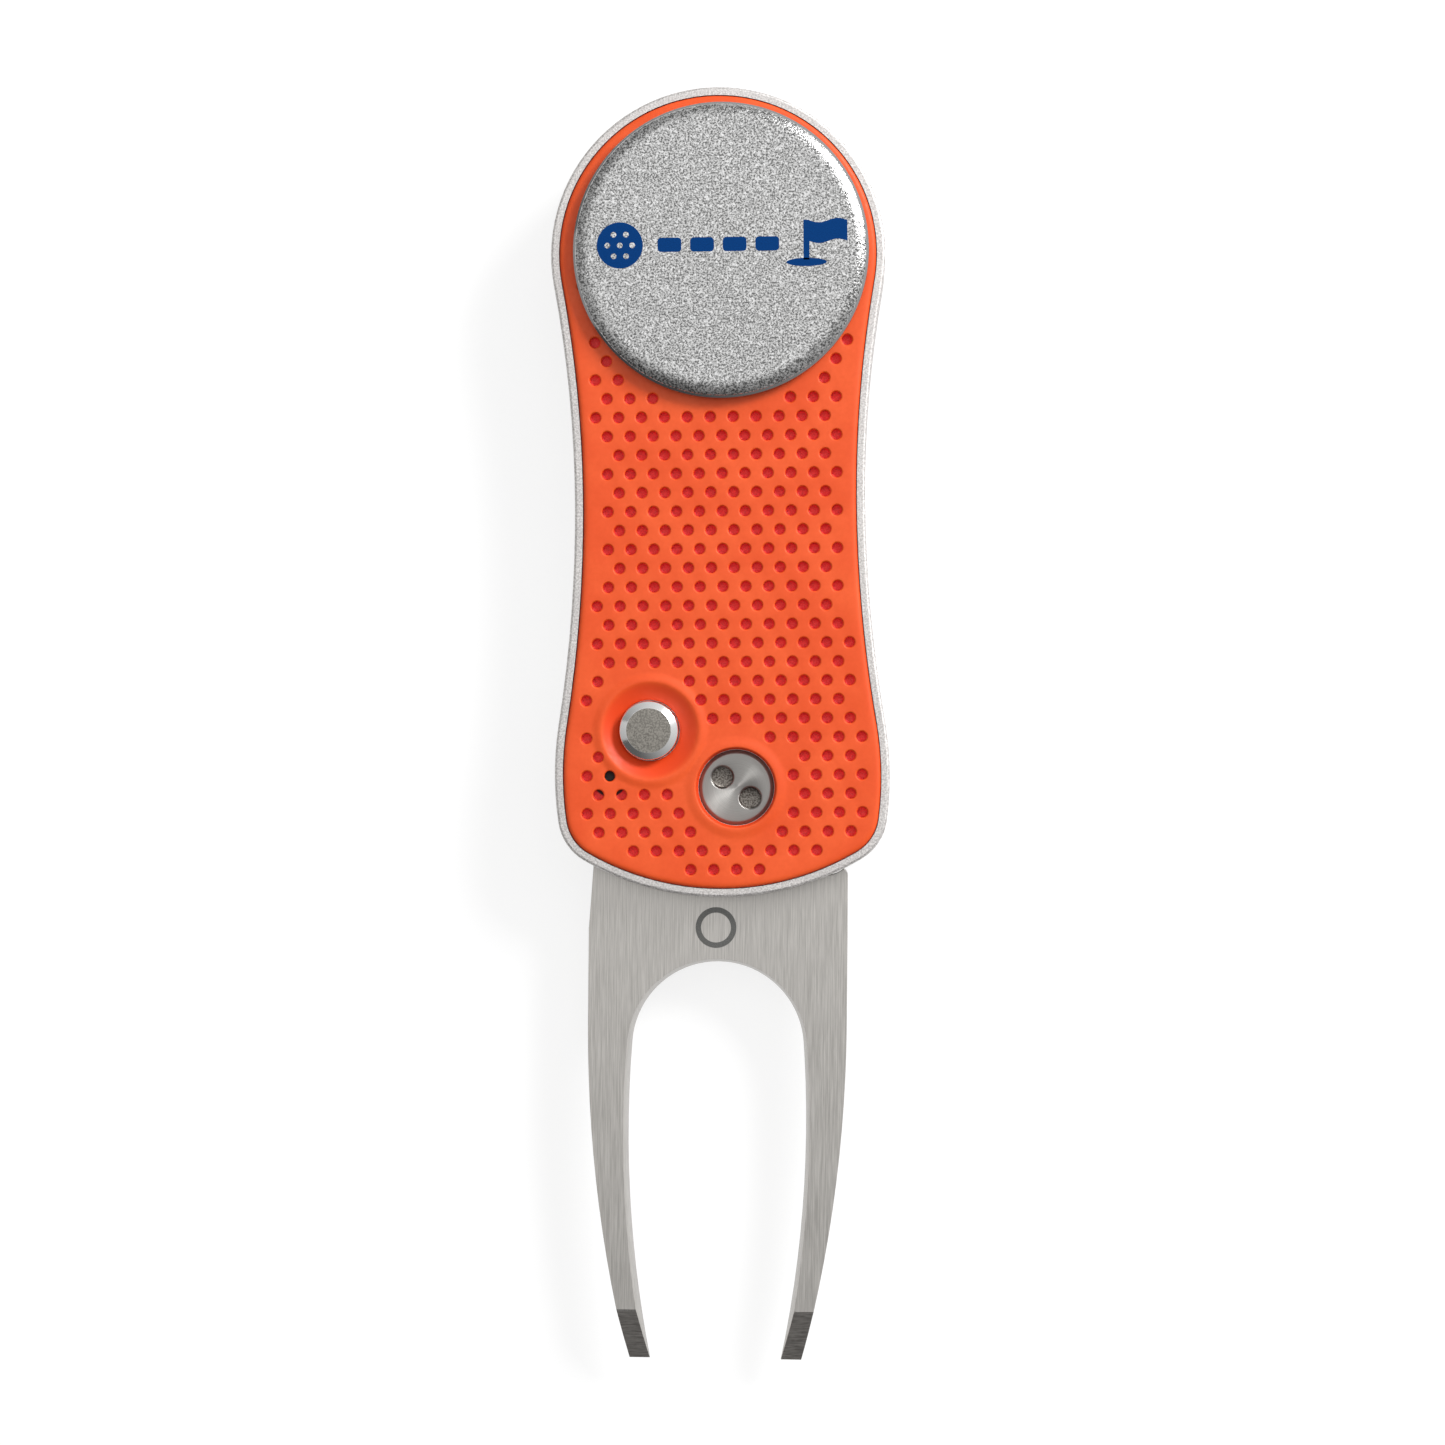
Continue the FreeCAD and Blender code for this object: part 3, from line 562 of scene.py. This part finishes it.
# ---------------------------------------------------------------- grips
def lip_height(distance, crest_r, foot_r, rise):
    """Height of a raised lip's outer slope over the face."""
    part = min(1.0, max(0.0, (foot_r - distance) / (foot_r - crest_r)))
    return rise * part * part * (3 - 2 * part)


# (radius, height over the face), from the crest inwards
DISH_LINE = ((DISH_CREST_R, 0.15), (4.17, 0.145), (4.08, 0.115), (3.94, 0.04), (3.7, -0.09), (3.4, -0.26),
             (3.1, -0.43), (2.86, -0.56), (2.68, -0.67), (2.60, -0.76), (2.58, -0.84), (2.58, -1.0))
COLLAR_LINE = ((COLLAR_CREST_R, 0.14), (3.48, 0.135), (3.43, 0.110), (3.395, 0.06), (3.38, 0.00),
               (3.38, -0.50), (3.35, -0.62), (3.28, -0.69), (3.24, -0.74), (3.24, -1.0))
# (distance outside a plain window, height over the face)
PLAIN_LINE = ((0.25, 0.0), (0.13, -0.012), (0.05, -0.06), (0.0, -0.15), (0.0, -GRIP_THICK))
# (centre, crest radius, foot radius, height of the crest)
RAISED = ((DISH, DISH_CREST_R, 5.05, 0.15), (PIVOT, COLLAR_CREST_R, 4.50, 0.14))
# (radius, depth below the face)
SPANNER_LINE = ((1.06, 0.0), (1.02, 0.012), (0.97, 0.05), (0.93, 0.10), (0.905, 0.16), (0.90, 0.22),
                (0.90, 0.42), (0.84, 0.51), (0.60, 0.60))
# (inset from the outline, depth below the face)
GRIP_EDGE = ((1.38, 0.0), (1.18, 0.010), (1.04, 0.035), (0.93, 0.08), (0.84, 0.16), (0.78, 0.27),
             (0.75, 0.40), (0.75, GRIP_THICK))
# (radius, depth)
HOLE_LINE = ((0.60, 0.0), (0.55, 0.006), (0.51, 0.028), (0.475, 0.065), (0.455, 0.12),
             (HOLE_R, 0.20), (HOLE_R, 0.94 - HOLE_WEB), (0.38, GRIP_THICK - HOLE_WEB))


def window_loops(centre, foot_centre, line):
    """Circles down a window's wall, whose middle moves evenly from centre to foot_centre."""
    shift = Vector(foot_centre) - Vector(centre)
    span = line[0][0] - line[-1][0]
    return [circle_points(Vector(centre) + shift * (line[0][0] - radius) / span, radius, WINDOW_SIDES)
            for radius, _ in line]


def hole_loops(spot, top_levels, face_z, outward):
    """Circles down a perforation, whose mouth follows a lip's slope and whose floor is level."""
    slope_depth = 0.5
    loops = []
    for radius, depth in HOLE_LINE:
        share = max(0.0, 1 - depth / slope_depth)
        ring = circle_points(spot, radius, HOLE_SIDES)
        loops.append([Vector((p.x, p.y, face_z + (level - face_z) * share - outward * depth))
                      for p, level in zip(ring, top_levels)])
    return loops


def slope_points(raised, holes):
    """Points on the lips' outer slopes, clear of the perforations and of the other lip's crest."""
    rings = 7
    points = []
    for centre, crest, foot, _ in raised:
        for step in range(1, rings + 1):
            radius = crest + (foot + 0.05 - crest) * step / rings
            for point in circle_points(centre, radius, WINDOW_SIDES):
                off_holes = all(math.dist(point, spot) > HOLE_LINE[0][0] + 0.04 for spot in holes)
                off_lips = all(math.dist(point, other[0]) > other[1] + 0.05 for other in raised)
                if off_holes and off_lips:
                    points.append(point)
    return points


def grip_skin(face_z, outward, windows, raised, holes):
    """Closed skin of a grip; outward is +1 where its face looks up.

    windows lists (centre, centre at the foot, line) of the holes right through it.
    """
    def height(point):
        lift = max([0.0] + [lip_height(math.dist(point, centre), crest, foot, rise)
                            for centre, crest, foot, rise in raised])
        return face_z + outward * lift

    shell = Shell()
    shell.stack([lifted(outline_loop(inset), face_z - outward * drop) for inset, drop in GRIP_EDGE])
    openings = []
    under_openings = []
    for centre, foot_centre, line in windows:
        loops = window_loops(centre, foot_centre, line)
        shell.stack([lifted(loop, face_z + outward * lift)
                     for loop, (_, lift) in zip(loops, line)])
        openings.append(loops[0])
        under_openings.append(loops[-1])
    for spot in holes:
        top = circle_points(spot, HOLE_LINE[0][0], HOLE_SIDES)
        loops = hole_loops(spot, [height(point) for point in top], face_z, outward)
        shell.stack(loops)
        shell.fan(loops[-1], Vector((*spot, face_z - outward * HOLE_LINE[-1][1])))
        openings.append(top)
    shell.fill(outline_loop(GRIP_EDGE[0][0]), openings, height, slope_points(raised, holes))
    shell.fill(outline_loop(GRIP_EDGE[-1][0]), under_openings, face_z - outward * GRIP_THICK)
    return shell


def plain_window(radius):
    return [(radius + more, lift) for more, lift in PLAIN_LINE]


def front_grip():
    blocked = [(DISH, DISH_CLEAR_R), (PIVOT, COLLAR_CLEAR_R),
               (MARKER_SEAT, MARKER_SEAT_R), (SEAT_EDGE_SPOT, HOLE_R)]
    windows = [(DISH, BUTTON, DISH_LINE), (PIVOT, PIVOT, COLLAR_LINE),
               (MARKER, MARKER, plain_window(CUP_WINDOW_R))]
    shell = grip_skin(FRONT_FACE_Z, 1.0, windows, RAISED, perforations(blocked))
    # The sunk dish and collar, painted a deeper red as shade.
    hollows = ((DISH, DISH_CREST_R + 0.05), (PIVOT, COLLAR_CREST_R - 0.05))
    rubber = soft_touch(FRONT_FACE_Z, -1, hollows, (STOP_PIN, RECESS_SHADE_R))
    front = shell.build("front_grip_moulding", "handle", "grip", rubber)
    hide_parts("front_grip")


def rear_grip():
    holes = perforations([(PIVOT, REAR_WINDOW_R + 3 * HOLE_R)])
    windows = [(PIVOT, PIVOT, plain_window(REAR_WINDOW_R))]
    shell = grip_skin(REAR_FACE_Z, -1.0, windows, (), holes)
    rear = shell.build("rear_grip_moulding", "handle", "grip", soft_touch(REAR_FACE_Z, 1))
    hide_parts("rear_grip")


# ---------------------------------------------------------------- button and marker
def button():
    """Push button: stem, flange and a body with a bevelled top."""
    low, high = box_mm("release_button")
    flange_low, flange_high, stem_r, body_r = 4.5, 5.75, 1.5, 2.5
    top_r, bevel_tall = 1.90, 0.38
    flange_r = radius_of("release_button")
    line = filleted([(0, low.z, 0), (stem_r, low.z, 0.2), (stem_r, flange_low, 0),
                     (flange_r, flange_low, 0.1), (flange_r, flange_high, 0.1),
                     (body_r, flange_high, 0), (body_r, high.z - bevel_tall, 0.18),
                     (top_r, high.z, 0.10), (0, high.z, 0)])
    shell = lathe(BUTTON, line)
    piece = shell.build("release_button_turned", "button", "button_steel", button_steel(), 40)
    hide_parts("release_button")


def button_coil():
    """Wire coil under the button's flange."""
    low, high = 2.0, 4.5
    coil_r, wire_r, turns, per_turn, wire_sides = 2.15, 0.15, 4, 24, 10
    climb = (high - low - 2 * wire_r) / turns
    around = [math.tau * side / wire_sides for side in range(wire_sides)]
    sections = []
    for step in range(turns * per_turn + 1):
        turn = math.tau * step / per_turn
        outward = Vector((math.cos(turn), math.sin(turn), 0))
        middle = Vector((*BUTTON, low + wire_r + climb * step / per_turn)) + outward * coil_r
        sections.append([middle + outward * wire_r * math.cos(t) + Vector((0, 0, wire_r * math.sin(t)))
                         for t in around])
    shell = Shell()
    shell.stack(sections)
    for loop in (sections[0], sections[-1]):
        shell.fan(loop, sum(loop, Vector()) / len(loop))
    wire = plain_metal("spring_wire", (0.42, 0.42, 0.43), 0.30)
    piece = shell.build("button_spring_coil", None, "spring_steel", wire, 60)
    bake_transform(piece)
    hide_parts("button_spring")


def pivot():
    """Turned barrel whose head has two spanner holes."""
    low, high = box_mm("pivot_barrel")
    head_r = radius_of("pivot_barrel")
    barrel_r, bore_r, bore_top, head_low, face_r = 2.30, 1.265, 5.9, 7.2, 2.55
    chamfer = 0.30
    line = filleted([(face_r, high.z, 0), (head_r - chamfer, high.z, 0.20),
                     (head_r, high.z - chamfer, 0.10), (head_r, head_low, 0.05),
                     (barrel_r, head_low, 0), (barrel_r, low.z, 0.1),
                     (bore_r, low.z, 0), (bore_r, bore_top, 0)])
    shell = Shell()
    loops = [lifted(circle_points(PIVOT, r, WINDOW_SIDES), z) for r, z in line]
    shell.stack(loops)
    shell.fan(loops[-1], Vector((*PIVOT, bore_top)))
    openings = []
    for turn in (SPANNER_TURN, SPANNER_TURN + math.pi):
        spot = (PIVOT[0] + SPANNER_ORBIT * math.cos(turn), PIVOT[1] + SPANNER_ORBIT * math.sin(turn))
        rings = [circle_points(spot, r, 48) for r, _ in SPANNER_LINE]
        sunk = [lifted(ring, high.z - depth) for ring, (_, depth) in zip(rings, SPANNER_LINE)]
        shell.stack(sunk)
        shell.fan(sunk[-1], Vector((*spot, high.z - SPANNER_LINE[-1][1])))
        openings.append(rings[0])
    shell.fill(circle_points(PIVOT, face_r, WINDOW_SIDES), openings, high.z)
    steel = turned_steel(PIVOT, (0.285, 0.277, 0.264), high.z - 0.2)
    piece = shell.build("pivot_barrel_turned", "handle", "pivot_steel", steel, 35)
    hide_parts("pivot_barrel")


def marker():
    """Struck disc with a softly rolled edge; returns the height of its face."""
    low, high = box_mm("ball_marker")
    radius = radius_of("ball_marker")
    top = high.z - INK
    roll_r, steep, steps = 2.20, math.radians(41), 16
    turns = [steep * (1 - step / steps) for step in range(steps + 1)]
    # the rolled edge, from its foot up to the flat face
    roll = [(radius - roll_r * (math.sin(steep) - math.sin(t)), top - roll_r * (1 - math.cos(t)))
            for t in turns]
    line = filleted([(0, low.z, 0), (radius, low.z, 0.2), (*roll[0], 0)]) + roll[1:] + [(0, top)]
    shell = lathe(MARKER, line, MARKER_SIDES)
    piece = shell.build("ball_marker_disc", "marker", "marker_nickel", nickel_face(), 35)
    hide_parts("ball_marker")
    return top


# ---------------------------------------------------------------- printed and etched marks
def slab(shell, loop, z, openings=()):
    """Adds a flat mark, INK thick, with openings in it."""
    shell.fill(loop, openings, z)
    shell.fill(loop, openings, z + INK)
    for outline in (loop, *openings):
        shell.stack([lifted(outline, z), lifted(outline, z + INK)])


def box_loop(x0, y0, x1, y1, radius=0.0):
    """Rectangle with rounded corners."""
    if not radius:
        return [Vector(c) for c in ((x0, y0), (x1, y0), (x1, y1), (x0, y1))]
    loop = []
    hubs = ((x1 - radius, y1 - radius), (x0 + radius, y1 - radius),
            (x0 + radius, y0 + radius), (x1 - radius, y0 + radius))
    for quarter, hub in enumerate(hubs):
        for step in range(7):
            turn = math.radians(90 * quarter + 15 * step)
            loop.append(Vector((hub[0] + radius * math.cos(turn), hub[1] + radius * math.sin(turn))))
    return loop


def golf_pictogram(z):
    """Generic print across the marker: a ball, its path in dashes, and a flag in its cup."""
    middle_y = MARKER[1] + 0.4
    half_tall = 1.95
    shell = Shell()

    ball = (MARKER[0] - 8.5, middle_y)
    dimple_orbit, dimple_r = 1.05, 0.24
    dimples = [ball] + [(ball[0] + dimple_orbit * math.cos(t), ball[1] + dimple_orbit * math.sin(t))
                        for t in [math.radians(60 * k) for k in range(6)]]
    slab(shell, circle_points(ball, half_tall, 64), z,
         [circle_points(spot, dimple_r, 20) for spot in dimples])

    dash_long, dash_half_tall, dash_pitch = 2.0, 0.60, 2.75
    for number in range(4):
        x = MARKER[0] - 5.3 + dash_pitch * number
        dash = box_loop(x, middle_y - dash_half_tall, x + dash_long, middle_y + dash_half_tall, 0.3)
        slab(shell, dash, z)

    pole_x, pole_wide = MARKER[0] + 7.0, 0.5
    pole_low, pole_high = middle_y - half_tall + 0.55, middle_y + half_tall
    slab(shell, box_loop(pole_x, pole_low, pole_x + pole_wide, pole_high), z)

    flag_long, flag_tall, wave, steps = 3.2, 1.75, 0.18, 12
    top_edge = [Vector((pole_x + pole_wide + flag_long * step / steps,
                        pole_high - 0.05 - wave * math.sin(math.tau * step / steps)))
                for step in range(steps + 1)]
    low_edge = [point - Vector((0, flag_tall)) for point in reversed(top_edge)]
    slab(shell, top_edge + low_edge, z)

    cup_half_wide, cup_half_tall = 1.7, 0.35
    cup = [Vector((pole_x + pole_wide / 2 + cup_half_wide * math.cos(t),
                   middle_y - half_tall + cup_half_tall + cup_half_tall * math.sin(t)))
           for t in [math.tau * k / 40 for k in range(40)]]
    slab(shell, cup, z)

    navy = ink("navy_ink", (0.0008, 0.032, 0.140))
    shell.build("golf_pictogram_print", "marker", "marker_nickel", navy)


def fork_mark():
    """Generic ring etched on the fork below the handle."""
    top = box_mm("fork")[1].z
    outer_r, inner_r, sides = 1.75, 1.28, 64
    shell = Shell()
    inner = circle_points(FORK_MARK, inner_r, sides)
    slab(shell, circle_points(FORK_MARK, outer_r, sides), top, [inner])
    etched = ink("etched_steel", (0.13, 0.13, 0.125), 0.5, 1.0)
    shell.build("etched_ring", "fork_blade", "fork_steel", etched)


# ---------------------------------------------------------------- CAD nodes that stay
def coat(node, material, round_mm=0.0):
    """Gives a CAD node its material, and small rounds along its sharp edges if asked."""
    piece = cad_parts[node]
    piece.data.materials[0] = material
    if round_mm:
        weld = piece.modifiers.new("weld", "WELD")
        weld.merge_threshold = 1e-6
        bevel = piece.modifiers.new("edge_round", "BEVEL")
        bevel.width = round_mm * MM
        bevel.segments = 3
        bevel.limit_method = "ANGLE"
        bevel.angle_limit = math.radians(40)
        bevel.harden_normals = True


def casings_and_fork():
    aluminium = blasted_aluminium()
    coat("front_casing", aluminium)
    coat("rear_casing", aluminium)
    coat("spine_spacer", plain_metal("spacer_alloy", (0.55, 0.55, 0.56), 0.42), 0.05)
    coat("fork", brushed_steel(box_mm("fork")[0].y + TIP_BEVEL_LENGTH), 0.10)


def fittings():
    steel = plain_metal("hardware_steel", (0.56, 0.56, 0.56), 0.34)
    coat("pivot_screw", steel, 0.06)
    coat("magnet_cup", steel, 0.06)
    for node in ("casing_screws", "locating_dowels", "spring_post"):
        coat(node, steel)
    coat("stop_pin", plain_metal("black_oxide", (0.035, 0.033, 0.032), 0.45), 0.1)
    coat("fork_spring", plain_metal("spring_strip", (0.42, 0.42, 0.43), 0.30))
    bronze = plain_metal("bronze", (0.60, 0.42, 0.20), 0.36)
    coat("front_thrust_washer", bronze)
    coat("rear_thrust_washer", bronze)
    coat("marker_magnet", plain_metal("magnet_nickel", (0.66, 0.65, 0.62), 0.22), 0.12)


# ---------------------------------------------------------------- stage, light, camera
def floor():
    """Pale floor just under the tool, glowing a little so that shadows stay faint."""
    mesh = bpy.data.meshes.new("floor")
    half = 3.0
    corners = [(-half, -half, 0), (half, -half, 0), (half, half, 0), (-half, half, 0)]
    mesh.from_pydata(corners, [], [(0, 1, 2, 3)])
    finish = Finish("pale_floor", Roughness=0.9, Specular_IOR_Level=0.1)
    tone = finish.noise(40.0, detail=2)
    finish.feed("Base Color", finish.mix(finish.ramp(tone, 0.3, 0.7),
                                         (0.28, 0.28, 0.28), (0.30, 0.30, 0.30)))
    finish.shader.inputs["Emission Color"].default_value = (1, 1, 1, 1)
    finish.shader.inputs["Emission Strength"].default_value = 0.76
    mesh.materials.append(finish.material)
    plane = bpy.data.objects.new("floor", mesh)
    plane.location.z = -2e-5
    bpy.context.scene.collection.objects.link(plane)


def softbox(name, place, size, power):
    """Rectangular lamp at place, in metres, that faces the tool."""
    light = bpy.data.lights.new(name, "AREA")
    light.shape = "RECTANGLE"
    light.size, light.size_y = size
    light.energy = power
    lamp = bpy.data.objects.new(name, light)
    lamp.location = place
    lamp.rotation_euler = (-Vector(place)).to_track_quat("-Z", "Y").to_euler()
    bpy.context.scene.collection.objects.link(lamp)


def studio():
    """Soft light from the upper right, darker low on the left and towards the prongs."""
    world = bpy.data.worlds.new("studio")
    world.use_nodes = True
    nodes = world.node_tree.nodes
    links = world.node_tree.links
    direction = nodes.new("ShaderNodeTexCoord").outputs["Generated"]
    slant = nodes.new("ShaderNodeVectorMath")
    slant.operation = "DOT_PRODUCT"
    slant.inputs[1].default_value = (0.62, 0.55, 0.30)
    links.new(direction, slant.inputs[0])
    ramp = nodes.new("ShaderNodeMapRange")
    ramp.inputs["From Min"].default_value = -0.6
    ramp.inputs["From Max"].default_value = 0.8
    ramp.inputs["To Min"].default_value = 0.10
    ramp.inputs["To Max"].default_value = 0.75
    links.new(slant.outputs["Value"], ramp.inputs["Value"])
    links.new(ramp.outputs["Result"], nodes["Background"].inputs["Strength"])
    nodes["Background"].inputs["Color"].default_value = (1, 1, 1, 1)
    bpy.context.scene.world = world
    softbox("key", (0.47, 0.38, 0.41), (0.26, 0.26), 5.2)
    softbox("top", (-0.05, 0.20, 0.90), (0.75, 0.75), 1.45)
    softbox("fill", (-0.60, 0.0, 0.38), (0.50, 0.90), 0.5)


def camera():
    """Long lens straight above the tool, rolled very slightly."""
    data = bpy.data.cameras.new("camera")
    data.sensor_width = 36.0
    data.lens = 82.4
    data.clip_start = 0.01
    eye = bpy.data.objects.new("camera", data)
    eye.location = Vector((11.5, 0.555, 289.0)) * MM
    aim = Vector((0.10, 0.555, 9.0)) * MM
    roll = math.radians(0.45)
    back = (eye.location - aim).normalized()
    right = Vector((math.sin(roll), math.cos(roll), 0)).cross(back).normalized()
    up = back.cross(right)
    eye.rotation_euler = Matrix((right, up, back)).transposed().to_euler()
    bpy.context.scene.collection.objects.link(eye)
    bpy.context.scene.camera = eye


front_grip()
rear_grip()
button()
button_coil()
pivot()
golf_pictogram(marker())
fork_mark()
casings_and_fork()
fittings()
floor()
studio()
camera()
bpy.context.scene.view_settings.view_transform = "Standard"
